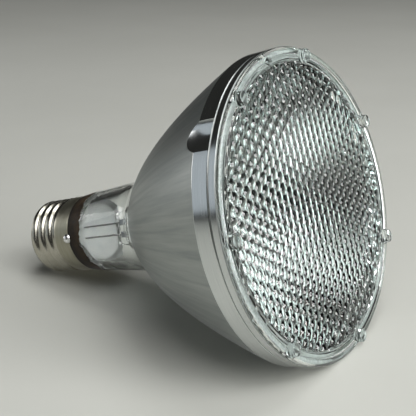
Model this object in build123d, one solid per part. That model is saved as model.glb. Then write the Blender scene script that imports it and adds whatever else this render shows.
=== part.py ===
"""Metal halide reflector bulb, standing on its lens with the screw cap up.

The lamp's axis is Z, the tips of the lens's feet are at Z = 0, and sizes are in millimetres.
"""
import os
from math import cos, hypot, pi, sin, sqrt

from build123d import *

# Lens and reflector
LENS_RADIUS = 47.6
FOOT_HEIGHT = 1.7
FOOT_COUNT = 7
FOOT_TURN = -130.7
SEAM_HEIGHT = 3.2
LENS_THICKNESS = 3.3
CELL_PITCH = 3.4
CELL_RISE = 0.75
CELL_TURN = 17.1
BOWL_FOCUS = 9.725
GLASS_WALL = 2.6
BAND_HEIGHT = 8.0
SCOOP_COUNT = 3
SCOOP_TURN = -94.6
SCOOP_RADIUS = 8.0
SCOOP_DEPTH = 1.85
NECK_LENGTH = 18.2

# Standard medium screw cap
THREAD_RADIUS = 13.2
THREAD_DEPTH = 1.0
THREAD_PITCH = 3.629
COLLAR_LENGTH = 6.6
SHELL_LENGTH = 21.2
SHELL_SHEET = 0.35
THREAD_TURN = -118.5
CAP_LENGTH = 26.5
SIDE_SOLDER_TURN = -127.3

# Burner
JACKET_RADIUS = 6.3
JACKET_WALL = 1.1
BURNER_TURN = 149.1
LEAD_SPREAD = 2.0
LEAD_RADIUS = 0.3
LEAD_BEND = 1.0
ARC_RADIUS = 3.1
ARC_LENGTH = 8.6
CAPILLARY_RADIUS = 1.2
CAPILLARY_LENGTH = 7.2

os.makedirs("parts", exist_ok=True)


def at(radius, height):
    return (radius, 0, height)


def turned(edges):
    return revolve(make_face(edges), Axis.Z)


def ring(*points):
    return turned(Polyline(*[at(*point) for point in points], close=True).edges())


def round_end(radius, height):
    """Quarter circle from the wall at height to the axis below it."""
    halfway = radius * sqrt(0.5)
    return ThreePointArc(
        at(radius, height), at(halfway, height - halfway), at(0, height - radius)
    ).edges()


def around(turn, radius, height):
    return (radius * cos(turn * pi / 180), radius * sin(turn * pi / 180), height)


def bend(start, start_way, end, end_way):
    """Curve from start to end that leaves and arrives along the two given ways."""
    cross = start_way[0] * end_way[1] - start_way[1] * end_way[0]
    gap = (end[0] - start[0], end[1] - start[1])
    reach = (gap[0] * end_way[1] - gap[1] * end_way[0]) / cross
    corner = (start[0] + reach * start_way[0], start[1] + reach * start_way[1])
    return Bezier(at(*start), at(*corner), at(*end))


# Heights that follow from the sizes above
band_front = SEAM_HEIGHT + 2.4
band_rear = SEAM_HEIGHT + BAND_HEIGHT
bowl_rim = LENS_RADIUS - 0.2
vertex = band_rear + bowl_rim**2 / (4 * BOWL_FOCUS)
flare_radius = 2 * BOWL_FOCUS
flare = vertex - flare_radius**2 / (4 * BOWL_FOCUS)
neck_front = vertex + 1.0
root_radius = THREAD_RADIUS - THREAD_DEPTH
neck_radius = THREAD_RADIUS + 2.1
shoulder = neck_front + NECK_LENGTH
shoulder_radius = THREAD_RADIUS + 0.7
collar = shoulder + 5.0
shank_radius = root_radius - 1.0
shank_bore = shank_radius - 1.8
shank_end = collar + 10.8
arc_centre = vertex - BOWL_FOCUS - GLASS_WALL
pinch_front = arc_centre + ARC_LENGTH / 2 + CAPILLARY_LENGTH + 3.0
pinch_rear = pinch_front + 7.4

# Reflector: bowl, neck and shank are one pressed piece of glass
bowl_way = (1, -flare_radius / (2 * BOWL_FOCUS))
rim_way = (1, -bowl_rim / (2 * BOWL_FOCUS))
neck_way = (shoulder_radius - neck_radius, NECK_LENGTH)


def inset(radius, height, way):
    length = hypot(*way)
    return (radius + GLASS_WALL * way[1] / length, height - GLASS_WALL * way[0] / length)


inner_rim = inset(bowl_rim, band_rear, rim_way)
inner_flare = inset(flare_radius, flare, bowl_way)
inner_neck = (neck_radius - GLASS_WALL, neck_front)
inner_shoulder = (shoulder_radius - GLASS_WALL, shoulder - 2.0)
seat_radius = LENS_RADIUS - 4.2

shoulder_curve = bend(
    (shoulder_radius, shoulder), neck_way, (shank_radius, shoulder + 4.2), (-1, 0.12)
)
outline = [
    Polyline(
        at(seat_radius, SEAM_HEIGHT + 2.6),
        at(seat_radius, SEAM_HEIGHT),
        at(LENS_RADIUS, SEAM_HEIGHT),
        at(LENS_RADIUS, band_front - 0.1),
        at(LENS_RADIUS - 0.4, band_front),
        at(LENS_RADIUS - 0.4, band_front + 0.2),
        at(LENS_RADIUS - 0.1, band_front + 0.4),
        at(LENS_RADIUS - 0.1, band_rear - 0.2),
        at(bowl_rim, band_rear),
    ),
    bend((bowl_rim, band_rear), rim_way, (flare_radius, flare), bowl_way),
    bend((flare_radius, flare), bowl_way, (neck_radius, neck_front), neck_way),
    Line(at(neck_radius, neck_front), at(shoulder_radius, shoulder)),
    shoulder_curve,
    Polyline(
        at(shank_radius, shoulder + 4.2),
        at(shank_radius, shank_end),
        at(shank_bore, shank_end),
        at(shank_bore, shoulder + 5.0),
        at(*inner_shoulder),
        at(*inner_neck),
    ),
    bend(inner_neck, neck_way, inner_flare, bowl_way),
    bend(inner_flare, bowl_way, inner_rim, rim_way),
    Line(at(*inner_rim), at(seat_radius, SEAM_HEIGHT + 2.6)),
]
reflector = turned([edge for line in outline for edge in line.edges()])

seal_inner = LENS_RADIUS - 3.2
seal_outer = LENS_RADIUS - 1.2
lens_seal = ring(
    (seal_inner, SEAM_HEIGHT),
    (seal_outer, SEAM_HEIGHT),
    (seal_outer, SEAM_HEIGHT + 0.7),
    (seal_inner, SEAM_HEIGHT + 0.7),
)
reflector -= lens_seal

scoop_place = LENS_RADIUS - 0.1 - SCOOP_DEPTH + SCOOP_RADIUS
for step in range(SCOOP_COUNT):
    turn = SCOOP_TURN + step * 360 / SCOOP_COUNT
    scoop_bottom = Pos(*around(turn, scoop_place, band_front + 0.4))
    reflector -= scoop_bottom * Cylinder(
        SCOOP_RADIUS, 16, align=(Align.CENTER, Align.CENTER, Align.MIN)
    )

# Lens: rim bead with two crests, feet, and a field of hexagonally packed cells
field_radius = LENS_RADIUS - 4.4
field_height = FOOT_HEIGHT + 0.55
lens_back = field_height + LENS_THICKNESS
plug_radius = seat_radius - 0.4
lens_blank = turned(
    Polyline(
        at(0, field_height),
        at(field_radius, field_height),
        at(field_radius + 0.2, field_height + 0.15),
        at(field_radius + 0.4, field_height + 0.15),
        at(field_radius + 0.6, FOOT_HEIGHT),
        at(field_radius + 1.5, FOOT_HEIGHT),
        at(field_radius + 1.7, FOOT_HEIGHT + 0.3),
        at(field_radius + 2.0, FOOT_HEIGHT + 0.3),
        at(field_radius + 2.2, FOOT_HEIGHT),
        at(LENS_RADIUS - 1.3, FOOT_HEIGHT),
    ).edges()
    + ThreePointArc(
        at(LENS_RADIUS - 1.3, FOOT_HEIGHT),
        at(LENS_RADIUS - 0.38, FOOT_HEIGHT + 0.38),
        at(LENS_RADIUS, FOOT_HEIGHT + 1.3),
    ).edges()
    + Polyline(
        at(LENS_RADIUS, FOOT_HEIGHT + 1.3),
        at(LENS_RADIUS, SEAM_HEIGHT),
        at(plug_radius, SEAM_HEIGHT),
        at(plug_radius - 0.3, lens_back - 0.5),
        at(plug_radius - 0.8, lens_back),
        at(0, lens_back),
        at(0, field_height),
    ).edges()
)
foot_place = LENS_RADIUS - 2.6
foot = chamfer(
    Cylinder(2.1, FOOT_HEIGHT + 0.6, align=(Align.CENTER, Align.CENTER, Align.MIN))
    .edges()
    .group_by(Axis.Z)[0],
    0.3,
)
for step in range(FOOT_COUNT):
    turn = FOOT_TURN - step * 360 / FOOT_COUNT
    lens_blank += Pos(*around(turn, foot_place, 0)) * foot
pip = Pos(*around(FOOT_TURN - 5.5 * 360 / FOOT_COUNT, foot_place, FOOT_HEIGHT - 0.6))
lens_blank += pip * Cylinder(1.3, 1.2, align=(Align.CENTER, Align.CENTER, Align.MIN))

cell_corner = CELL_PITCH / sqrt(3)
reach = int(field_radius / CELL_PITCH) + 2
cells = []
for column in range(-2 * reach, 2 * reach + 1):
    for row in range(-reach, reach + 1):
        along = CELL_PITCH * (column + row / 2)
        across = CELL_PITCH * row * sqrt(3) / 2
        if hypot(along, across) + cell_corner < field_radius - 0.3:
            cells.append((along, across))


def corner_of(cell, number):
    turn = (30 + 60 * number) * pi / 180
    along = cell[0] + cell_corner * cos(turn)
    across = cell[1] + cell_corner * sin(turn)
    swing = CELL_TURN * pi / 180
    return (
        round(along * cos(swing) - across * sin(swing), 6),
        round(along * sin(swing) + across * cos(swing), 6),
        field_height,
    )


def top_of(cell):
    swing = CELL_TURN * pi / 180
    return (
        cell[0] * cos(swing) - cell[1] * sin(swing),
        cell[0] * sin(swing) + cell[1] * cos(swing),
        field_height - CELL_RISE,
    )


facets = []
sides = {}
for cell in cells:
    for number in range(6):
        start = corner_of(cell, number)
        end = corner_of(cell, number + 1)
        facets.append(Face(Wire.make_polygon([start, end, top_of(cell)])))
        middle = (round((start[0] + end[0]) / 2, 3), round((start[1] + end[1]) / 2, 3))
        sides.setdefault(middle, []).append((start, end))
border_sides = [pair[0] for pair in sides.values() if len(pair) == 1]
border = Wire([Edge.make_line(start, end) for start, end in border_sides])
blank_faces = lens_blank.faces()
field = min(blank_faces, key=lambda face: (face.center() - Vector(0, 0, field_height)).length)
facets.append(Face(field.outer_wire(), [border]))
lens = Solid(Shell(facets + [face for face in blank_faces if not face.is_same(field)]))

# Screw shell: drawn sheet whose round section winds about the axis, which makes the thread
thread_front = collar + COLLAR_LENGTH + 0.9
shell_end = collar + SHELL_LENGTH
inside_end = shell_end - SHELL_SHEET
cement_end = thread_front - 1.05
collar_radius = THREAD_RADIUS + 0.05
collar_inside = collar_radius - SHELL_SHEET
end_hole = root_radius - 2.6
throw = THREAD_DEPTH / 2
thread_middle = THREAD_RADIUS - throw
steps_per_turn = 8
thread_steps = int((shell_end - 2.6 - thread_front) * steps_per_turn / THREAD_PITCH)


def section(radius, height, off_axis=0):
    turn = THREAD_TURN + 360 * (height - collar) / THREAD_PITCH
    return Wire.make_circle(radius, Plane(around(turn, off_axis, height)))


def winding(radius):
    rise = THREAD_PITCH / steps_per_turn
    return [section(radius, thread_front + step * rise, throw) for step in range(thread_steps + 1)]


def turned_in(radius, end_radius, height):
    return [
        section(radius - 0.5, height - 1.4, throw / 2),
        section(radius - 1.2, height - 0.4),
        section(end_radius, height),
    ]


sheet_outside = Solid.make_loft(
    [
        section(collar_radius + 0.2, collar),
        section(collar_radius, collar + 0.6),
        section(collar_radius, collar + COLLAR_LENGTH),
    ]
    + winding(thread_middle)
    + turned_in(thread_middle, end_hole + 0.9, shell_end),
    ruled=True,
)
sheet_inside = Solid.make_loft(
    [section(collar_inside, collar - 1.0), section(collar_inside, cement_end)]
    + winding(thread_middle - SHELL_SHEET)
    + turned_in(thread_middle - SHELL_SHEET, end_hole + 0.7, inside_end),
    ruled=True,
)
screw_shell = sheet_outside - sheet_inside
screw_shell -= Pos(0, 0, shell_end) * Cylinder(end_hole, 4 * SHELL_SHEET)

# Cement: fills the cap round the shank and its bore, and shows as a band below the collar
coat_radius = shank_radius + LEAD_RADIUS
fill_dip = shoulder + 9.6
fill_edge = (
    inner_shoulder[0] + (shank_bore - inner_shoulder[0]) * 3 / 7,
    inner_shoulder[1] + 3.0,
)
fill_front = bend((0, fill_dip), (1, 0), fill_edge, (1, -1.4))
cement_edges = [
    Polyline(
        at(shoulder_radius, shoulder),
        at(collar_radius + 0.2, collar),
        at(collar_inside, collar),
        at(collar_inside, cement_end),
        at(coat_radius, cement_end),
        at(coat_radius, shank_end + 0.5),
        at(0, shank_end + 0.5),
        at(0, fill_dip),
    ),
    fill_front,
    Polyline(
        at(*fill_edge),
        at(shank_bore, shoulder + 5.0),
        at(shank_bore, shank_end),
        at(shank_radius, shank_end),
        at(shank_radius, shoulder + 4.2),
    ),
    shoulder_curve,
]
cap_cement = turned([edge for line in cement_edges for edge in line.edges()])

# Insulator, contact and solder at the end of the cap
contact_height = collar + CAP_LENGTH - 1.6
cap_insulator = ring(
    (LEAD_RADIUS, inside_end - 2.0),
    (end_hole - 0.6, inside_end - 2.0),
    (end_hole + 0.6, inside_end - 1.0),
    (end_hole + 0.6, inside_end),
    (end_hole, inside_end),
    (end_hole, shell_end + 0.1),
    (end_hole - 1.0, shell_end + 1.1),
    (6.0, contact_height - 0.5),
    (5.6, contact_height),
    (LEAD_RADIUS, contact_height),
)
centre_contact = ring(
    (LEAD_RADIUS, contact_height),
    (4.8, contact_height),
    (4.8, contact_height + 0.35),
    (4.2, contact_height + 0.8),
    (LEAD_RADIUS, contact_height + 0.8),
)
solder_edges = (
    Polyline(
        at(LEAD_RADIUS, contact_height + 1.6),
        at(LEAD_RADIUS, contact_height + 0.8),
        at(2.6, contact_height + 0.8),
    ).edges()
    + ThreePointArc(
        at(2.6, contact_height + 0.8),
        at(1.6, contact_height + 1.36),
        at(LEAD_RADIUS, contact_height + 1.6),
    ).edges()
)
centre_solder = turned(solder_edges)

# Burner jacket: quartz tube with a round front, a tip and a flat pinch
burner = Rot(0, 0, BURNER_TURN)
front = arc_centre - ARC_LENGTH / 2 - CAPILLARY_LENGTH - 2.6
bore = JACKET_RADIUS - JACKET_WALL
jacket_edges = (
    Line(at(0, pinch_front), at(JACKET_RADIUS - 1.6, pinch_front)).edges()
    + ThreePointArc(
        at(JACKET_RADIUS - 1.6, pinch_front),
        at(JACKET_RADIUS - 0.47, pinch_front - 0.47),
        at(JACKET_RADIUS, pinch_front - 1.6),
    ).edges()
    + Line(at(JACKET_RADIUS, pinch_front - 1.6), at(JACKET_RADIUS, front)).edges()
    + round_end(JACKET_RADIUS, front)
    + Line(at(0, front - JACKET_RADIUS), at(0, pinch_front)).edges()
)
hollow_edges = (
    Polyline(
        at(0, front - bore), at(0, pinch_front - 0.8), at(bore, pinch_front - 0.8), at(bore, front)
    ).edges()
    + round_end(bore, front)
)
pinch_length = pinch_rear - pinch_front + 2.0
pinch = Pos(0, 0, pinch_rear - pinch_length / 2) * Box(11.0, 3.4, pinch_length)
pinch = fillet(pinch.edges().filter_by(Axis.Z), 1.2)
tip_height = front - JACKET_RADIUS
tip = Pos(0, 0, tip_height - 0.9) * Cone(0.7, 1.6, 2.0, align=(Align.CENTER, Align.CENTER, Align.MIN))
burner_jacket = burner * (turned(jacket_edges) + pinch + tip - turned(hollow_edges))

foil_front = pinch_front + 1.2
foil_length = 4.6
foil_box = Box(1.9, 0.12, foil_length)
foil_centre = foil_front + foil_length / 2
live_foil = burner * Pos(LEAD_SPREAD, 0, foil_centre) * foil_box
return_foil = burner * Pos(-LEAD_SPREAD, 0, foil_centre) * foil_box
foil_rear = foil_front + foil_length


def beside(offset, height):
    return around(BURNER_TURN, offset, height)


def wire(points, corner):
    path = FilletPolyline(*points, radius=corner)
    return sweep(Plane(path @ 0, z_dir=path % 0) * Circle(LEAD_RADIUS), path)


# Lead wires: they carry the burner and end in the two solder drops
live_lead = wire(
    [
        beside(LEAD_SPREAD, foil_rear),
        beside(LEAD_SPREAD, collar + 4),
        (0, 0, collar + 12),
        (0, 0, contact_height + 1.6),
    ],
    3 * LEAD_BEND,
)
fold = shank_end + 1.4
way_out = collar - LEAD_RADIUS - 0.05
return_lead = wire(
    [
        beside(-LEAD_SPREAD, foil_rear),
        beside(-LEAD_SPREAD, fold),
        around(SIDE_SOLDER_TURN, coat_radius, fold),
        around(SIDE_SOLDER_TURN, coat_radius, way_out),
        around(SIDE_SOLDER_TURN, THREAD_RADIUS + 0.7, way_out),
    ],
    LEAD_BEND,
)
cap_core = ring(
    (0, shoulder),
    (shoulder_radius, shoulder),
    (collar_radius + 0.2, collar),
    (collar_radius, collar + 0.6),
    (collar_radius, collar + COLLAR_LENGTH),
    (0, collar + COLLAR_LENGTH),
)
solder_place = Pos(*around(SIDE_SOLDER_TURN, THREAD_RADIUS - 0.4, collar + 0.7))
side_solder = solder_place * Sphere(1.75) - cap_core

# Arc tube with its feedthroughs, seals and wires
arc_front = arc_centre - ARC_LENGTH / 2
arc_rear = arc_centre + ARC_LENGTH / 2
capillary_front = arc_front - CAPILLARY_LENGTH
capillary_rear = arc_rear + CAPILLARY_LENGTH
chamber = ARC_RADIUS - 0.7
arc_tube = burner * ring(
    (0.45, capillary_front),
    (CAPILLARY_RADIUS, capillary_front),
    (CAPILLARY_RADIUS, arc_front - 0.4),
    (ARC_RADIUS - 0.7, arc_front + 0.5),
    (ARC_RADIUS, arc_front + 1.6),
    (ARC_RADIUS, arc_rear - 1.6),
    (ARC_RADIUS - 0.7, arc_rear - 0.5),
    (CAPILLARY_RADIUS, arc_rear + 0.4),
    (CAPILLARY_RADIUS, capillary_rear),
    (0.45, capillary_rear),
    (0.45, arc_rear - 0.6),
    (chamber - 0.6, arc_rear - 1.0),
    (chamber, arc_rear - 1.9),
    (chamber, arc_front + 1.9),
    (chamber - 0.6, arc_front + 1.0),
    (0.45, arc_front + 0.6),
)
frit_outline = ((0.45, 0), (0.95, 0), (0.75, 0.35), (0.45, 0.5))
near_frit = ring(*[(radius, capillary_rear + rise) for radius, rise in frit_outline])
far_frit = ring(*[(radius, capillary_front - rise) for radius, rise in frit_outline])
feed_length = CAPILLARY_LENGTH + 3.0
feed = Cylinder(0.45, feed_length, align=(Align.CENTER, Align.CENTER, Align.MIN))
tip_ball = Cylinder(0.6, 0.9, align=(Align.CENTER, Align.CENTER, Align.MIN))
near_electrode = Pos(0, 0, arc_rear - 1.6) * (feed + tip_ball)
far_electrode = Pos(0, 0, arc_front + 1.6) * Rot(180, 0, 0) * (feed + tip_ball)

near_end = arc_rear - 1.6 + feed_length
far_end = arc_front + 1.6 - feed_length
short_inner_wire = wire(
    [
        beside(LEAD_SPREAD, foil_front),
        beside(LEAD_SPREAD, near_end),
        beside(0.45, near_end - 0.5),
    ],
    0.6,
)
side_run = bore - LEAD_RADIUS - 0.35
long_inner_wire = wire(
    [
        beside(-LEAD_SPREAD, foil_front),
        beside(-LEAD_SPREAD, pinch_front - 1.6),
        beside(-side_run, pinch_front - 3.4),
        beside(-side_run, far_end + 0.4),
        beside(-0.45, far_end + 0.4),
    ],
    0.8,
)
short_inner_wire -= near_electrode
long_inner_wire -= far_electrode
getter_place = Pos(-side_run + 0.5, LEAD_RADIUS + 0.1, capillary_front + 3.0)
getter = burner * getter_place * Box(1.6, 0.2, 4.0)
long_inner_wire -= getter

# Each sealed or cemented piece gets room for what passes through it
for passing in (live_foil, return_foil, live_lead, return_lead, short_inner_wire, long_inner_wire):
    burner_jacket -= passing
live_foil = live_foil - live_lead - short_inner_wire
return_foil = return_foil - return_lead - long_inner_wire
for lead in (live_lead, return_lead):
    cap_cement -= lead
side_solder -= return_lead

nodes = {
    "reflector": reflector,
    "lens": lens,
    "lens_seal": lens_seal,
    "screw_shell": screw_shell,
    "cap_cement": cap_cement,
    "cap_insulator": cap_insulator,
    "centre_contact": centre_contact,
    "centre_solder": centre_solder,
    "side_solder": side_solder,
    "live_lead": live_lead,
    "return_lead": return_lead,
    "burner_jacket": burner_jacket,
    "live_foil": live_foil,
    "return_foil": return_foil,
    "short_inner_wire": short_inner_wire,
    "long_inner_wire": long_inner_wire,
    "arc_tube": arc_tube,
    "near_electrode": near_electrode,
    "far_electrode": far_electrode,
    "near_frit": near_frit,
    "far_frit": far_frit,
    "getter": getter,
}
for name, shape in nodes.items():
    export_step(shape, f"parts/{name}.step")
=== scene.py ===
"""Looks of the metal halide bulb, built round its solids in metres.

The lamp's axis is Z, the lens faces down, and the cap is on top.
"""
from math import atan2, cos, hypot, pi, radians, sin, sqrt

import bpy
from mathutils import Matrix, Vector


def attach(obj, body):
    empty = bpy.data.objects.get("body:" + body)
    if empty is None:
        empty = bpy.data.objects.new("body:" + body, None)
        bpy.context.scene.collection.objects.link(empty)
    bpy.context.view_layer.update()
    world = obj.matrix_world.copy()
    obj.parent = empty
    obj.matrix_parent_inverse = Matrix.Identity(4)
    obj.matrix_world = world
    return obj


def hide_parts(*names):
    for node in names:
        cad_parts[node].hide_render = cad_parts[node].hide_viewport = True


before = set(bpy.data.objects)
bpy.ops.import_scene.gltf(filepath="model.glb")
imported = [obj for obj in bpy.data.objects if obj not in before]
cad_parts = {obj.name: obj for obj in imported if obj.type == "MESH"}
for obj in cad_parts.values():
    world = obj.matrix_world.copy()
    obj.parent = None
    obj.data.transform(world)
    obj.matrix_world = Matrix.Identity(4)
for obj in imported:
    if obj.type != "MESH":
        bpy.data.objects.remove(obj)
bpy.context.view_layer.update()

# Reflector: bowl, flare, neck and shank are one pressing of hard glass. The bowl is silvered
# inside and etched satin outside, with a polished band and three polished holding notches.
MM = 0.001
SPIN_WELD = 1e-6
ROUND_STEPS = 288
RIM_RADIUS = 47.6
SEAM = 3.2
BAND_REAR = 11.2
FOCUS = 9.725
WALL = 2.6
VERTEX = BAND_REAR + (RIM_RADIUS - 0.2) ** 2 / (4 * FOCUS)
SILVER_END = 58.6
NECK_FRONT = VERTEX + 1.0
NECK_RADIUS = 15.3
NECK_LENGTH = 18.2
NECK_NARROWING = 1.4
SHOULDER = NECK_FRONT + NECK_LENGTH
SHOULDER_RADIUS = 13.9
SHANK_RADIUS = 11.2
SHANK_BORE = 9.4
COLLAR = SHOULDER + 5.0
SEAT_INSIDE = 42.9
GROOVE_INSIDE = 44.4
GROOVE_OUTSIDE = 46.4


def bend(start, start_way, end, end_way, count):
    """Points of the curve that leaves start and reaches end along the two given ways."""
    cross = start_way[0] * end_way[1] - start_way[1] * end_way[0]
    gap = (end[0] - start[0], end[1] - start[1])
    reach = (gap[0] * end_way[1] - gap[1] * end_way[0]) / cross
    corner = (start[0] + reach * start_way[0], start[1] + reach * start_way[1])
    points = []
    for step in range(count + 1):
        share = step / count
        weights = ((1 - share) ** 2, 2 * share * (1 - share), share**2)
        points.append(
            tuple(
                weights[0] * start[i] + weights[1] * corner[i] + weights[2] * end[i] for i in (0, 1)
            )
        )
    return points


def turned_piece(name, outline, steps):
    """Spins a closed outline of radius and height, in mm, about the lamp's axis."""
    bpy.ops.object.select_all(action="DESELECT")
    bpy.ops.mesh.primitive_circle_add(vertices=len(outline), radius=1)
    piece = bpy.context.object
    piece.name = name
    piece.data.name = name
    for vertex, (radius, height) in zip(piece.data.vertices, outline):
        vertex.co = (radius * MM, 0, height * MM)
    bpy.ops.object.mode_set(mode="EDIT")
    bpy.ops.mesh.select_all(action="SELECT")
    bpy.ops.mesh.spin(steps=steps, angle=2 * pi, center=(0, 0, 0), axis=(0, 0, 1))
    bpy.ops.mesh.select_all(action="SELECT")
    bpy.ops.mesh.remove_doubles(threshold=SPIN_WELD)
    bpy.ops.mesh.normals_make_consistent(inside=False)
    bpy.ops.object.mode_set(mode="OBJECT")
    return piece


def make_active(piece):
    bpy.ops.object.select_all(action="DESELECT")
    piece.select_set(True)
    bpy.context.view_layer.objects.active = piece


def apply_modifier(piece, kind, **settings):
    make_active(piece)
    modifier = piece.modifiers.new(kind.title(), kind)
    for name, value in settings.items():
        setattr(modifier, name, value)
    bpy.ops.object.modifier_apply(modifier=modifier.name)


def smooth(piece, sharp_angle):
    make_active(piece)
    bpy.ops.object.shade_smooth_by_angle(angle=radians(sharp_angle))


def finish(name, **sockets):
    """A new finish whose shader's sockets get the given values."""
    material = bpy.data.materials.new(name)
    material.use_nodes = True
    shader = material.node_tree.nodes["Principled BSDF"]
    for socket, value in sockets.items():
        shader.inputs[socket.replace("_", " ").title().replace("Ior", "IOR")].default_value = value
    return material


def add_node(material, kind, feeds, **settings):
    """Adds a node; feeds gives its inputs, each as a value or another node's output."""
    node = material.node_tree.nodes.new(kind)
    for name, value in settings.items():
        setattr(node, name, value)
    for place, value in feeds.items():
        if isinstance(value, bpy.types.NodeSocket):
            material.node_tree.links.new(value, node.inputs[place])
        else:
            node.inputs[place].default_value = value
    return node


def feed(material, socket, output):
    shader = material.node_tree.nodes["Principled BSDF"]
    material.node_tree.links.new(output, shader.inputs[socket])


def place_of(material):
    return add_node(material, "ShaderNodeTexCoord", {}).outputs["Object"]


def tone_range(material, noise, dark, light, low=0.32, high=0.68):
    tone = add_node(material, "ShaderNodeValToRGB", {"Fac": noise})
    tone.color_ramp.elements[0].position = low
    tone.color_ramp.elements[0].color = (*dark, 1)
    tone.color_ramp.elements[1].position = high
    tone.color_ramp.elements[1].color = (*light, 1)
    feed(material, "Base Color", tone.outputs["Color"])


def mottle(material, scale, dark, light, stretch=(1, 1, 1)):
    """Cloudy noise that runs the colour from dark to light; gives the noise for other sockets."""
    spot = place_of(material)
    drawn = add_node(material, "ShaderNodeVectorMath", {0: spot, 1: stretch}, operation="MULTIPLY")
    cloud = add_node(
        material, "ShaderNodeTexNoise",
        {"Vector": drawn.outputs[0], "Scale": scale, "Detail": 4.0, "Roughness": 0.6},
    )
    tone_range(material, cloud.outputs["Fac"], dark, light)
    return cloud.outputs["Fac"]


def gloss_range(material, noise, low, high):
    span = add_node(
        material, "ShaderNodeMapRange",
        {"Value": noise, "From Min": 0.3, "From Max": 0.7, "To Min": low, "To Max": high},
    )
    feed(material, "Roughness", span.outputs["Result"])


def relief(material, height, strength, depth):
    bump = add_node(
        material, "ShaderNodeBump", {"Height": height, "Strength": strength, "Distance": depth * MM}
    )
    feed(material, "Normal", bump.outputs["Normal"])


def clear_finish(name, colour, ior, scale, strength, depth):
    """Clear glass whose surface ripples a little."""
    glass = finish(
        name, base_color=(*colour, 1), roughness=0.0, ior=ior, transmission_weight=1.0
    )
    ripple = add_node(
        glass, "ShaderNodeTexNoise",
        {"Vector": place_of(glass), "Scale": scale, "Detail": 2.0, "Roughness": 0.5},
    )
    relief(glass, ripple.outputs["Fac"], strength, depth)
    return glass


bowl_rim = RIM_RADIUS - 0.2
flare_radius = 2 * FOCUS
flare = (flare_radius, VERTEX - FOCUS)
bowl_way = (1, -1)
rim_way = (1, -bowl_rim / flare_radius)
neck_way = (-NECK_NARROWING, NECK_LENGTH)


def inset(radius, height, way):
    length = hypot(*way)
    return (radius + WALL * way[1] / length, height - WALL * way[0] / length)


inner_rim = inset(bowl_rim, BAND_REAR, rim_way)
inner_flare = inset(*flare, bowl_way)
reflector_outline = [
    (SEAT_INSIDE, SEAM + 2.6),
    (SEAT_INSIDE, SEAM + 0.03),
    (43.6, SEAM + 0.03),
    (43.64, SEAM - 0.02),
    (GROOVE_INSIDE, SEAM - 0.02),
    (GROOVE_INSIDE, SEAM + 0.7),
    (GROOVE_OUTSIDE, SEAM + 0.7),
    (GROOVE_OUTSIDE, SEAM + 0.03),
    (47.28, SEAM + 0.03),
    (47.36, SEAM + 0.07),
    (47.54, SEAM + 0.22),
    (RIM_RADIUS, SEAM + 0.3),
    (RIM_RADIUS, SEAM + 0.36),
    (RIM_RADIUS, SEAM + 2.06),
    (RIM_RADIUS, SEAM + 2.12),
    (RIM_RADIUS - 0.06, SEAM + 2.25),
    (RIM_RADIUS - 0.36, SEAM + 2.42),
    (RIM_RADIUS - 0.4, SEAM + 2.5),
    (RIM_RADIUS - 0.36, SEAM + 2.6),
    (RIM_RADIUS - 0.16, SEAM + 2.75),
    (RIM_RADIUS - 0.1, SEAM + 2.9),
    (RIM_RADIUS - 0.1, SEAM + 2.96),
    (RIM_RADIUS - 0.1, BAND_REAR - 0.41),
    (RIM_RADIUS - 0.1, BAND_REAR - 0.35),
    (RIM_RADIUS - 0.13, BAND_REAR - 0.15),
]
reflector_outline += bend((bowl_rim, BAND_REAR), rim_way, flare, bowl_way, 44)
reflector_outline += bend(flare, bowl_way, (NECK_RADIUS, NECK_FRONT), neck_way, 16)[1:]
reflector_outline += [
    (NECK_RADIUS - 0.35 * step, NECK_FRONT + 4.55 * step) for step in (1, 2, 3)
]
reflector_outline += bend(
    (SHOULDER_RADIUS, SHOULDER), neck_way, (SHANK_RADIUS, SHOULDER + 4.2), (-1, 0.12), 10
)
reflector_outline += [
    (SHANK_RADIUS, COLLAR + 10.5),
    (10.9, COLLAR + 10.8),
    (9.7, COLLAR + 10.8),
    (SHANK_BORE, COLLAR + 10.5),
    (SHANK_BORE, SHOULDER + 5.5),
    (9.46, SHOULDER + 4.6),
    (9.67, SHOULDER + 4.0),
    (11.1, SHOULDER - 1.2),
    (11.27, SHOULDER - 2.0),
    (11.36, SHOULDER - 2.8),
    (12.0, SHOULDER - 10.1),
]
reflector_outline += bend((12.7, NECK_FRONT), neck_way, inner_flare, bowl_way, 16)
reflector_outline += bend(inner_flare, bowl_way, inner_rim, rim_way, 44)[1:]
reflector = turned_piece("reflector_pressing", reflector_outline, ROUND_STEPS)

satin_silver = finish("satin_silver", metallic=1.0)
spot = place_of(satin_silver)
flat_spot = add_node(
    satin_silver, "ShaderNodeVectorMath", {0: spot, 1: (1, 1, 0)}, operation="MULTIPLY"
)
round_spot = add_node(
    satin_silver, "ShaderNodeVectorMath", {0: flat_spot.outputs[0]}, operation="NORMALIZE"
)
streak_spot = add_node(
    satin_silver, "ShaderNodeVectorMath", {0: spot, 1: (0, 0, 1.6), 2: round_spot.outputs[0]},
    operation="MULTIPLY_ADD",
)
streaks = add_node(
    satin_silver, "ShaderNodeTexNoise",
    {"Vector": streak_spot.outputs[0], "Scale": 20.0, "Detail": 4.0, "Roughness": 0.62},
)
tone_range(
    satin_silver, streaks.outputs["Fac"], (0.3, 0.325, 0.32), (0.42, 0.44, 0.425), 0.3, 0.72
)
gloss_range(satin_silver, streaks.outputs["Fac"], 0.46, 0.38)
etching = add_node(
    satin_silver, "ShaderNodeTexNoise",
    {"Vector": spot, "Scale": 1500.0, "Detail": 3.0, "Roughness": 0.7},
)
relief(satin_silver, etching.outputs["Fac"], 0.12, 0.2)

polished_silver = finish("polished_silver", metallic=1.0)
turning = mottle(polished_silver, 1.0, (0.6, 0.625, 0.62), (0.68, 0.7, 0.695), (60, 60, 2600))
gloss_range(polished_silver, turning, 0.12, 0.2)

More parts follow.
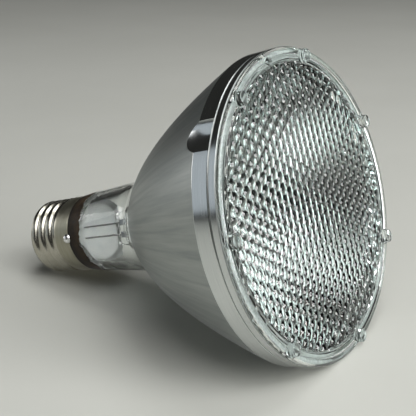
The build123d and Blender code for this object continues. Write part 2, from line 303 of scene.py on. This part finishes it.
bright_mirror = finish("bright_mirror", metallic=1.0)
dimples = mottle(bright_mirror, 160.0, (0.71, 0.755, 0.75), (0.76, 0.805, 0.8))
gloss_range(bright_mirror, dimples, 0.04, 0.08)

clear_glass = clear_finish("clear_glass", (0.96, 0.98, 0.97), 1.48, 180.0, 0.1, 0.3)

ground_glass = finish("ground_glass", ior=1.48)
grinding = mottle(ground_glass, 700.0, (0.42, 0.48, 0.46), (0.54, 0.6, 0.58))
gloss_range(ground_glass, grinding, 0.35, 0.55)

SATIN, POLISHED, MIRROR, CLEAR, GROUND = range(5)
for coat in (satin_silver, polished_silver, bright_mirror, clear_glass, ground_glass):
    reflector.data.materials.append(coat)

NOTCH_COUNT = 3
NOTCH_TURN = -94.6
NOTCH_RADIUS = 8.0
NOTCH_DEPTH = 1.85
NOTCH_LENGTH = 16
NOTCH_FRONT = SEAM + 2.8
NOTCH_PLACE = RIM_RADIUS - 0.1 - NOTCH_DEPTH + NOTCH_RADIUS
bpy.ops.object.select_all(action="DESELECT")
bpy.ops.mesh.primitive_cylinder_add(
    vertices=160, radius=NOTCH_RADIUS * MM, depth=NOTCH_LENGTH * MM,
    location=(NOTCH_PLACE * MM, 0, (NOTCH_FRONT + NOTCH_LENGTH / 2) * MM),
)
notch_cutter = bpy.context.object
bpy.ops.object.transform_apply(location=True, rotation=True, scale=True)
bpy.ops.object.mode_set(mode="EDIT")
bpy.ops.mesh.select_all(action="SELECT")
bpy.ops.transform.rotate(value=-radians(NOTCH_TURN), orient_axis="Z", center_override=(0, 0, 0))
for count in range(1, NOTCH_COUNT):
    bpy.ops.mesh.duplicate()
    bpy.ops.transform.rotate(
        value=-radians(360 / NOTCH_COUNT), orient_axis="Z", center_override=(0, 0, 0)
    )
bpy.ops.object.mode_set(mode="OBJECT")
notch_cutter.data.materials.append(polished_silver)
apply_modifier(
    reflector, "BOOLEAN", operation="DIFFERENCE", object=notch_cutter, solver="EXACT",
    material_mode="TRANSFER",
)
bpy.data.objects.remove(notch_cutter)

for face in reflector.data.polygons:
    height = face.center.z / MM
    away = hypot(face.center.x, face.center.y) / MM
    outward = face.normal.x * face.center.x + face.normal.y * face.center.y > 0
    if height > SILVER_END:
        face.material_index = CLEAR
    elif height < SEAM and away < GROOVE_INSIDE + 0.01:
        face.material_index = GROUND
    elif height < SEAM + 0.75 and away < GROOVE_OUTSIDE + 0.01:
        face.material_index = SATIN
    elif face.material_index == SATIN and not outward:
        face.material_index = MIRROR
    elif height < SEAM + 2.79 and abs(face.normal.z) > 0.3:
        face.material_index = SATIN
    elif height < BAND_REAR - 0.1:
        face.material_index = POLISHED
smooth(reflector, 32)
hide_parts("reflector")
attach(reflector, "root")

# Lens: a thick pressed disc of clear glass, sealed to the bowl's rim. Its front is a field of
# domed lenslets packed in hexagons, inside a double bead that carries a pip and seven feet, each
# in a shallow dip.
FIELD_RADIUS = 43.2
FIELD_MARGIN = 2.2
FIELD_BASE = 2.25
FIELD_TOP = FIELD_BASE + 0.8
LENS_BACK = 5.55
CELL_PITCH = 3.4
CELL_RISE = 0.53
CELL_TURN = 17.1
CELL_WELD = 0.00002
SLIVER = 0.00001
FOOT_COUNT = 7
FOOT_PLACE = 45.0
FOOT_TURN = -130.7
FOOT_STEPS = 40
PIP_STEP = 5.5
lens_outline = [
    (0, FIELD_BASE + 0.5),
    (FIELD_RADIUS - 0.4, FIELD_BASE + 0.5),
    (FIELD_RADIUS - 0.1, FIELD_BASE + 0.45),
    (43.35, 2.44),
    (43.5, 2.4),
    (43.62, 2.3),
    (43.72, 1.98),
    (43.9, 1.78),
    (44.2, 1.7),
    (44.5, 1.77),
    (44.7, 1.96),
    (44.84, 2.22),
    (44.97, 2.36),
    (45.1, 2.36),
    (45.23, 2.22),
    (45.38, 1.96),
    (45.62, 1.77),
    (46.0, 1.7),
    (46.5, 1.74),
    (46.95, 1.9),
    (47.3, 2.17),
    (47.52, 2.55),
    (47.6, 2.82),
    (47.6, 2.88),
    (47.54, 2.98),
    (47.36, SEAM - 0.04),
    (47.28, SEAM),
    (43.0, SEAM),
    (42.95, LENS_BACK - 0.6),
    (42.8, LENS_BACK - 0.2),
    (42.5, LENS_BACK),
    (0, LENS_BACK),
]
lens = turned_piece("lens_disc", lens_outline, ROUND_STEPS)

cell_corner = CELL_PITCH / sqrt(3)
bpy.ops.object.select_all(action="DESELECT")
bpy.ops.mesh.primitive_circle_add(vertices=6, radius=cell_corner * MM, fill_type="TRIFAN")
field = bpy.context.object
bpy.ops.object.mode_set(mode="EDIT")
bpy.ops.mesh.select_all(action="SELECT")
bpy.ops.mesh.subdivide(number_cuts=2)
bpy.ops.object.mode_set(mode="OBJECT")
for vertex in field.data.vertices:
    away = hypot(vertex.co.x, vertex.co.y) / MM
    vertex.co.z = (FIELD_BASE - CELL_RISE * (1 - (away / cell_corner) ** 2)) * MM
row_way = (CELL_PITCH * MM, 0, 0)
next_row_way = (CELL_PITCH * MM / 2, CELL_PITCH * MM * sqrt(3) / 2, 0)
reach = 15
bpy.ops.object.mode_set(mode="EDIT")
bpy.ops.mesh.select_all(action="SELECT")
bpy.ops.transform.translate(
    value=[-reach * (row_way[i] + next_row_way[i]) for i in range(3)]
)
bpy.ops.object.mode_set(mode="OBJECT")
for way in (row_way, next_row_way):
    apply_modifier(
        field, "ARRAY", count=2 * reach + 1, use_relative_offset=False, use_constant_offset=True,
        constant_offset_displace=way, use_merge_vertices=True, merge_threshold=CELL_WELD,
    )
bpy.ops.object.mode_set(mode="EDIT")
bpy.ops.mesh.select_mode(type="FACE")
bpy.ops.mesh.select_all(action="DESELECT")
bpy.ops.object.mode_set(mode="OBJECT")
for face in field.data.polygons:
    face.select = hypot(face.center.x, face.center.y) > (FIELD_RADIUS + FIELD_MARGIN) * MM
bpy.ops.object.mode_set(mode="EDIT")
bpy.ops.mesh.delete(type="FACE")
bpy.ops.mesh.select_all(action="SELECT")
bpy.ops.mesh.remove_doubles(threshold=CELL_WELD)
bpy.ops.transform.rotate(value=-radians(CELL_TURN), orient_axis="Z", center_override=(0, 0, 0))
bpy.ops.mesh.extrude_region_move(TRANSFORM_OT_translate={"value": (0, 0, 2 * MM)})
bpy.ops.transform.resize(value=(1, 1, 0), center_override=(0, 0, FIELD_TOP * MM))
bpy.ops.mesh.dissolve_faces()
bpy.ops.mesh.select_all(action="SELECT")
bpy.ops.mesh.normals_make_consistent(inside=False)
bpy.ops.mesh.select_mode(type="VERT")
bpy.ops.object.mode_set(mode="OBJECT")

bpy.ops.object.select_all(action="DESELECT")
bpy.ops.mesh.primitive_cylinder_add(
    vertices=300, radius=FIELD_RADIUS * MM, depth=6 * MM, location=(0, 0, 2 * MM)
)
field_edge = bpy.context.object
bpy.ops.object.transform_apply(location=True, rotation=True, scale=True)
apply_modifier(field, "BOOLEAN", operation="INTERSECT", object=field_edge, solver="MANIFOLD")
bpy.data.objects.remove(field_edge)

foot_outline = [
    (0, 0),
    (1.65, 0),
    (1.85, 0.05),
    (2.0, 0.18),
    (2.08, 0.4),
    (2.1, 0.7),
    (2.1, 2.6),
    (0, 2.6),
]
feet = turned_piece("feet", foot_outline, FOOT_STEPS)
pip_outline = [(0, 1.1), (0.8, 1.1), (1.1, 1.2), (1.27, 1.45), (1.3, 1.7), (1.3, 2.6), (0, 2.6)]
pip = turned_piece("pip", pip_outline, 32)


def copies_round(piece, turns):
    """Sets copies of a piece, in its own mesh, at FOOT_PLACE from the axis."""
    make_active(piece)
    bpy.ops.object.mode_set(mode="EDIT")
    bpy.ops.mesh.select_all(action="SELECT")
    at = (0.0, 0.0)
    for number, turn in enumerate(turns):
        if number:
            bpy.ops.mesh.duplicate()
        to = (FOOT_PLACE * cos(radians(turn)), FOOT_PLACE * sin(radians(turn)))
        bpy.ops.transform.translate(value=((to[0] - at[0]) * MM, (to[1] - at[1]) * MM, 0))
        at = to
    bpy.ops.object.mode_set(mode="OBJECT")


foot_turns = [FOOT_TURN - step * 360 / FOOT_COUNT for step in range(FOOT_COUNT)]
copies_round(feet, foot_turns)
copies_round(pip, [FOOT_TURN - PIP_STEP * 360 / FOOT_COUNT])
foot_gap_outline = [(0, 1), (2.6, 1), (2.6, 1.9), (2.45, 2.25), (0, 2.25)]
foot_gap = turned_piece("foot_gap", foot_gap_outline, FOOT_STEPS)
copies_round(foot_gap, foot_turns)
apply_modifier(lens, "BOOLEAN", operation="DIFFERENCE", object=foot_gap, solver="MANIFOLD")
bpy.data.objects.remove(foot_gap)
for moulded in (field, feet, pip):
    apply_modifier(lens, "BOOLEAN", operation="UNION", object=moulded, solver="MANIFOLD")
    bpy.data.objects.remove(moulded)
make_active(lens)
bpy.ops.object.mode_set(mode="EDIT")
bpy.ops.mesh.select_all(action="SELECT")
bpy.ops.mesh.dissolve_degenerate(threshold=SLIVER)
bpy.ops.mesh.select_all(action="SELECT")
bpy.ops.mesh.remove_doubles(threshold=SLIVER)
bpy.ops.object.mode_set(mode="OBJECT")

lens_glass = clear_finish("lens_glass", (0.95, 0.98, 0.965), 1.47, 300.0, 0.03, 0.3)
lens.data.materials.clear()
lens.data.materials.append(lens_glass)
smooth(lens, 30)
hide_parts("lens")
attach(lens, "root")

# Seal: a domed bead of speckled sealing paste in the rim's groove. It joins the lens to the bowl
# and shows through the edge of the lens.
seal_outline = [
    (44.9, SEAM + 0.4),
    (45.02, SEAM + 0.16),
    (45.2, SEAM + 0.02),
    (45.34, SEAM - 0.05),
    (45.94, SEAM - 0.05),
    (46.08, SEAM + 0.02),
    (46.26, SEAM + 0.16),
    (46.38, SEAM + 0.4),
    (46.38, SEAM + 0.66),
    (44.9, SEAM + 0.66),
]
seal = turned_piece("seal_bead", seal_outline, 360)
seal_paste = finish("seal_paste")
specks = mottle(seal_paste, 1500.0, (0.38, 0.43, 0.42), (0.7, 0.77, 0.75))
gloss_range(seal_paste, specks, 0.3, 0.5)
relief(seal_paste, specks, 0.6, 0.3)
seal.data.materials.append(seal_paste)
smooth(seal, 40)
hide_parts("lens_seal")
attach(seal, "root")

# Burner: a quartz jacket with a flat pinch holds the ceramic arc tube, its electrodes and frit
# seals, the foils, the inner wires and a getter plate. It hangs on its two lead wires.
quartz = clear_finish("quartz", (0.97, 0.98, 0.98), 1.46, 220.0, 0.1, 0.2)
arc_ceramic = finish("arc_ceramic", roughness=0.4, subsurface_weight=0.3)
mottle(arc_ceramic, 500.0, (0.8, 0.77, 0.71), (0.9, 0.88, 0.84))
frit_glass = finish("frit_glass", roughness=0.3)
mottle(frit_glass, 900.0, (0.46, 0.41, 0.33), (0.6, 0.56, 0.48))


def burner_metal(name, dark, light, low, high):
    metal = finish(name, metallic=1.0)
    gloss_range(metal, mottle(metal, 600.0, dark, light), low, high)
    return metal


dark_niobium = burner_metal("dark_niobium", (0.26, 0.25, 0.24), (0.38, 0.37, 0.36), 0.32, 0.48)
foil_metal = burner_metal("foil_metal", (0.44, 0.46, 0.54), (0.56, 0.58, 0.64), 0.22, 0.38)
wire_metal = burner_metal("wire_metal", (0.2, 0.195, 0.19), (0.32, 0.31, 0.3), 0.3, 0.42)
getter_metal = burner_metal("getter_metal", (0.26, 0.26, 0.27), (0.36, 0.36, 0.37), 0.42, 0.6)


def coat_solids(finishes):
    for node_name, coat in finishes.items():
        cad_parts[node_name].data.materials.clear()
        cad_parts[node_name].data.materials.append(coat)


burner_finishes = {
    "burner_jacket": quartz,
    "arc_tube": arc_ceramic,
    "near_electrode": dark_niobium,
    "far_electrode": dark_niobium,
    "near_frit": frit_glass,
    "far_frit": frit_glass,
    "live_foil": foil_metal,
    "return_foil": foil_metal,
    "short_inner_wire": wire_metal,
    "long_inner_wire": wire_metal,
    "getter": getter_metal,
    "live_lead": wire_metal,
    "return_lead": wire_metal,
}
coat_solids(burner_finishes)

# Cement: capping cement between the neck and the cap, pale where the glass covers it. It is
# pressed out in a band below the collar, where the heat has browned it, with an uneven edge.
EDGE_RADIUS = 14
EDGE_INSIDE = 13.6
EDGE_REAR = SHOULDER + 3.2
EDGE_DEPTH = 3.4
EDGE_WAVES = ((0.34, 5, 1.0), (0.27, 11, 2.2), (0.2, 23, 0), (0.14, 41, 0.7), (0.1, 67, 1.9))
cement_outline = [
    (14.02, SHOULDER - 1.1),
    (14.06, SHOULDER - 0.7),
    (14.04, SHOULDER - 0.1),
    (13.99, SHOULDER + 0.6),
    (13.83, SHOULDER + 1.9),
    (13.68, SHOULDER + 3.2),
    (13.5, SHOULDER + 4.6),
    (13.4, COLLAR - 0.04),
    (12.88, COLLAR - 0.02),
    (12.88, COLLAR + 6.4),
    (11.5, COLLAR + 6.45),
    (11.5, COLLAR + 11.3),
    (0, COLLAR + 11.3),
]
cement_outline += bend((0, SHOULDER + 9.6), (1, 0), (10.51, SHOULDER + 1.0), (1, -1.4), 12)
cement_outline += [
    (9.69, SHOULDER + 4.0),
    (9.42, SHOULDER + 5.5),
    (9.42, COLLAR + 10.78),
    (11.18, COLLAR + 10.78),
]
cement_outline += bend(
    (11.18, SHOULDER + 4.2), (1, -0.12), (13.87, SHOULDER), (NECK_NARROWING, -NECK_LENGTH), 12
)
cement_outline += [(13.93, SHOULDER - 0.7), (13.96, SHOULDER - 1.1)]
cement = turned_piece("capping_cement", cement_outline, 240)
for vertex in cement.data.vertices:
    height = vertex.co.z / MM
    turn = atan2(vertex.co.y, vertex.co.x)
    outside = hypot(vertex.co.x, vertex.co.y) > EDGE_INSIDE * MM
    hold = min(1, max(0, (EDGE_REAR - height) / EDGE_DEPTH)) if outside else 0
    waves = sum(size * sin(count * turn + shift) for size, count, shift in EDGE_WAVES)
    vertex.co.z += waves * hold * MM
    ratio = 1 - NECK_NARROWING / NECK_LENGTH * waves * hold / EDGE_RADIUS
    vertex.co.x *= ratio
    vertex.co.y *= ratio
browned_cement_painted_shade = finish("browned_cement_painted_shade", specular_ior_level=0.2)
scorch = mottle(browned_cement_painted_shade, 260.0, (0.005, 0.004, 0.003), (0.05, 0.034, 0.02))
brown = browned_cement_painted_shade.node_tree.nodes["Principled BSDF"].inputs["Base Color"].links[0].from_socket
# Painted shade: the brown is darkened towards the collar, under its edge, and lightened towards the
# shoulder.
level = add_node(browned_cement_painted_shade, "ShaderNodeSeparateXYZ", {"Vector": place_of(browned_cement_painted_shade)})
painted_collar_shade = add_node(
    browned_cement_painted_shade, "ShaderNodeMapRange",
    {
        "Value": level.outputs["Z"], "From Min": (SHOULDER - 1) * MM, "From Max": COLLAR * MM,
        "To Min": 1.7, "To Max": 0.2,
    },
)
collar_shaded_brown = add_node(
    browned_cement_painted_shade, "ShaderNodeVectorMath", {0: brown, 1: painted_collar_shade.outputs["Result"]},
    operation="MULTIPLY",
)
feed(browned_cement_painted_shade, "Base Color", collar_shaded_brown.outputs[0])
gloss_range(browned_cement_painted_shade, scorch, 0.4, 0.65)
relief(browned_cement_painted_shade, scorch, 0.5, 0.3)
pale_cement = finish("pale_cement", roughness=0.8)
mottle(pale_cement, 260.0, (0.84, 0.86, 0.85), (0.95, 0.955, 0.94))
cement.data.materials.append(browned_cement_painted_shade)
cement.data.materials.append(pale_cement)
for face in cement.data.polygons:
    outward = face.normal.x * face.center.x + face.normal.y * face.center.y > 0
    face.material_index = 0 if outward and face.center.z < COLLAR * MM else 1
smooth(cement, 40)
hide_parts("cap_cement")
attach(cement, "root")

# Screw shell: drawn and rolled brass sheet, plated with nickel. A plain satin collar, then a
# bright rounded right-hand thread, and an end turned in over the insulator.
COLLAR_LENGTH = 6.6
SHELL_SHEET = 0.35
THREAD_RADIUS = 13.2
THREAD_MIDDLE = 12.7
ROOT_RADIUS = 12.2
THREAD_PITCH = 3.629
THREAD_TURN = -118.5
CREST_FULLNESS = 2.4
THREAD_FRONT = COLLAR + 7.5
SHELL_END = COLLAR + 21.2
shell_rows = [
    (COLLAR, 13.42),
    (COLLAR + 0.12, 13.45),
    (COLLAR + 0.35, 13.36),
    (COLLAR + 0.6, 13.26),
    (COLLAR + 1.0, 13.25),
    (COLLAR + 3.5, 13.25),
    (COLLAR + 6.0, 13.24),
    (COLLAR + 6.4, 13.2),
    (COLLAR + 6.75, 13.05),
    (COLLAR + 7.05, 12.85),
    (COLLAR + 7.3, 12.74),
]
thread_end = SHELL_END - 2.2
row_count = 64
for row in range(row_count + 1):
    shell_rows.append((THREAD_FRONT + (thread_end - THREAD_FRONT) * row / row_count, THREAD_MIDDLE))
shell_rows += [
    (SHELL_END - 1.7, 12.6),
    (SHELL_END - 1.2, 12.3),
    (SHELL_END - 0.75, 11.85),
    (SHELL_END - 0.4, 11.3),
    (SHELL_END - 0.15, 10.7),
    (SHELL_END - 0.02, 10.1),
    (SHELL_END, 9.6),
]
bpy.ops.object.select_all(action="DESELECT")
bpy.ops.mesh.primitive_circle_add(vertices=144, radius=shell_rows[0][1] * MM)
shell = bpy.context.object
shell.name = "screw_cap_shell"
bpy.ops.object.mode_set(mode="EDIT")
bpy.ops.mesh.select_all(action="SELECT")
bpy.ops.transform.translate(value=(0, 0, shell_rows[0][0] * MM))
for (low, wide), (high, narrow) in zip(shell_rows, shell_rows[1:]):
    bpy.ops.mesh.extrude_region_move(TRANSFORM_OT_translate={"value": (0, 0, (high - low) * MM)})
    ratio = narrow / wide
    bpy.ops.transform.resize(value=(ratio, ratio, 1), center_override=(0, 0, high * MM))
bpy.ops.mesh.select_all(action="SELECT")
bpy.ops.mesh.normals_make_consistent(inside=False)
bpy.ops.object.mode_set(mode="OBJECT")
for vertex in shell.data.vertices:
    height = vertex.co.z / MM
    run_in = min(1, max(0, (height - COLLAR - 6.5) / 1.4))
    run_out = min(1, max(0, (SHELL_END - 0.9 - height) / 1.6))
    turn = atan2(vertex.co.y, vertex.co.x)
    lag = turn - radians(THREAD_TURN) - 2 * pi * (height - COLLAR) / THREAD_PITCH
    swell = 1 - (0.5 - 0.5 * cos(lag)) ** CREST_FULLNESS
    crest = ROOT_RADIUS - THREAD_MIDDLE + swell * (THREAD_RADIUS - ROOT_RADIUS)
    push = crest * run_in * run_out
    away = hypot(vertex.co.x, vertex.co.y) / MM
    vertex.co.x *= (away + push) / away
    vertex.co.y *= (away + push) / away
apply_modifier(shell, "SOLIDIFY", thickness=SHELL_SHEET * MM, offset=-1, use_even_offset=True)
nickel = finish("nickel", metallic=1.0)
rolling = mottle(nickel, 1.0, (0.45, 0.43, 0.36), (0.55, 0.53, 0.46), (240, 240, 1100))
gloss_range(nickel, rolling, 0.2, 0.28)
satin_nickel = finish("satin_nickel", metallic=1.0)
brushing = mottle(satin_nickel, 1.0, (0.34, 0.325, 0.25), (0.42, 0.405, 0.325), (240, 240, 1100))
gloss_range(satin_nickel, brushing, 0.34, 0.46)
shell.data.materials.append(nickel)
shell.data.materials.append(satin_nickel)
for face in shell.data.polygons:
    face.material_index = 1 if face.center.z < (COLLAR + COLLAR_LENGTH) * MM else 0
smooth(shell, 40)
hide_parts("screw_shell")
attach(shell, "root")

# Cap end: black glass insulator with the centre contact and its drop of solder, and the drop
# that joins the return wire to the collar.
black_glass = finish("black_glass")
swirl = mottle(black_glass, 240.0, (0.008, 0.008, 0.01), (0.022, 0.021, 0.024))
gloss_range(black_glass, swirl, 0.1, 0.24)
contact_brass = finish("contact_brass", metallic=1.0)
stamping = mottle(contact_brass, 300.0, (0.62, 0.52, 0.34), (0.76, 0.68, 0.5))
gloss_range(contact_brass, stamping, 0.22, 0.38)
tin_solder = finish("tin_solder", metallic=1.0)
crust = mottle(tin_solder, 800.0, (0.8, 0.8, 0.79), (0.93, 0.93, 0.92))
gloss_range(tin_solder, crust, 0.22, 0.36)
cap_finishes = {
    "cap_insulator": black_glass,
    "centre_contact": contact_brass,
    "centre_solder": tin_solder,
    "side_solder": tin_solder,
}
coat_solids(cap_finishes)

# Studio: a pale floor that the lamp leans on by its rim and cap, a second one below the lens for
# views of the standing lamp, and large soft lights. One light stands below the leaning floor, which
# casts no shadow, for the lamp's back. Right, up and back are as seen in the photo.
FLOOR_RIGHT = Vector((0.21417, 0.57058, -0.79283))
FLOOR_UP = Vector((0.67393, -0.67384, -0.30291))
FLOOR_BACK = FLOOR_RIGHT.cross(FLOOR_UP) * -1
FLOOR_DROP = 0.0463
LEVEL_DROP = 0.0004
LIGHT_DISTANCE = 1.2
LAMP_MIDDLE = Vector((0, 0, 0.055))
ROOM_GLOW = 0.04


def studio_floor(name, place, turn):
    """A wide pale floor that lets the camera look through from behind."""
    bpy.ops.object.select_all(action="DESELECT")
    bpy.ops.mesh.primitive_plane_add(size=5.0, location=place, rotation=turn)
    floor = bpy.context.object
    floor.name = name
    paint = finish(name + "_paint", roughness=0.7)
    mottle(paint, 6.0, (0.545, 0.55, 0.505), (0.575, 0.58, 0.535))
    side = add_node(paint, "ShaderNodeNewGeometry", {}).outputs["Backfacing"]
    sight = add_node(paint, "ShaderNodeLightPath", {}).outputs["Is Camera Ray"]
    gone = add_node(paint, "ShaderNodeMath", {0: side, 1: sight}, operation="MULTIPLY")
    clear = add_node(paint, "ShaderNodeBsdfTransparent", {})
    painted = paint.node_tree.nodes["Principled BSDF"].outputs[0]
    cover = add_node(
        paint, "ShaderNodeMixShader", {0: gone.outputs[0], 1: painted, 2: clear.outputs[0]}
    )
    paint.node_tree.links.new(
        cover.outputs[0], paint.node_tree.nodes["Material Output"].inputs["Surface"]
    )
    floor.data.materials.append(paint)
    return floor


floor_lean = FLOOR_UP.to_track_quat("Z", "Y").to_euler()
leaning_floor = studio_floor("leaning_floor", FLOOR_UP * -FLOOR_DROP, floor_lean)
leaning_floor.visible_shadow = False
level_floor = studio_floor("level_floor", (0, 0, -LEVEL_DROP), (0, 0, 0))
level_floor.visible_diffuse = False
level_floor.visible_glossy = False
level_floor.visible_transmission = False
level_floor.visible_shadow = False


def soft_light(name, turn, rise, size, power, tint=(1.0, 1.0, 1.0)):
    """A round soft light that faces the lamp, at a turn from the floor's right."""
    way = FLOOR_RIGHT * cos(radians(turn)) + FLOOR_BACK * sin(radians(turn))
    way = way * cos(radians(rise)) + FLOOR_UP * sin(radians(rise))
    bpy.ops.object.light_add(type="AREA", location=LAMP_MIDDLE + way * LIGHT_DISTANCE)
    light = bpy.context.object
    light.name = name
    light.rotation_mode = "QUATERNION"
    light.rotation_quaternion = way.to_track_quat("Z", "Y")
    light.data.shape = "DISK"
    light.data.size = size
    light.data.energy = power
    light.data.color = tint
    light.visible_camera = False


soft_light("key_light", -23, 9, 0.56, 8.0)
soft_light("low_front_light", -45, 10, 0.56, 1.8)
soft_light("back_right_light", 22, 8, 0.42, 0.2)
soft_light("front_light", -60, 42, 0.56, 2.3)
soft_light("right_light", -30, 42, 0.56, 3.3)
soft_light("high_front_light", -84, 64, 0.7, 3.4)
soft_light("high_right_light", -40, 59, 0.6, 3.1)
soft_light("top_light", 60, 77, 0.56, 3.4)
soft_light("back_left_light", 157, 8, 0.42, 1.0)
soft_light("left_light", 187, 18, 0.8, 0.9, (0.85, 0.93, 1.0))
soft_light("under_light", 95, -46, 1.0, 4.6)

world = bpy.data.worlds.new("studio")
bpy.context.scene.world = world
world.use_nodes = True
sky = world.node_tree.nodes["Background"]
sky.inputs["Color"].default_value = (0.6, 0.61, 0.57, 1)
sight = world.node_tree.nodes.new("ShaderNodeLightPath")
dimmer = world.node_tree.nodes.new("ShaderNodeMapRange")
dimmer.inputs["To Min"].default_value = ROOM_GLOW
dimmer.inputs["To Max"].default_value = 1.0
world.node_tree.links.new(sight.outputs["Is Camera Ray"], dimmer.inputs["Value"])
world.node_tree.links.new(dimmer.outputs["Result"], sky.inputs["Strength"])

# Camera: low on the lamp's right side, with the lens turned towards it.
bpy.ops.object.camera_add(location=(-0.122878, -0.196062, -0.132285))
camera = bpy.context.object
camera.rotation_mode = "QUATERNION"
camera.rotation_quaternion = (0.187732, 0.756201, 0.47795, -0.405562)
camera.data.lens = 77.39
camera.data.sensor_width = 36.0
camera.data.clip_start = 0.01
bpy.context.scene.camera = camera
bpy.context.scene.view_settings.view_transform = "Standard"
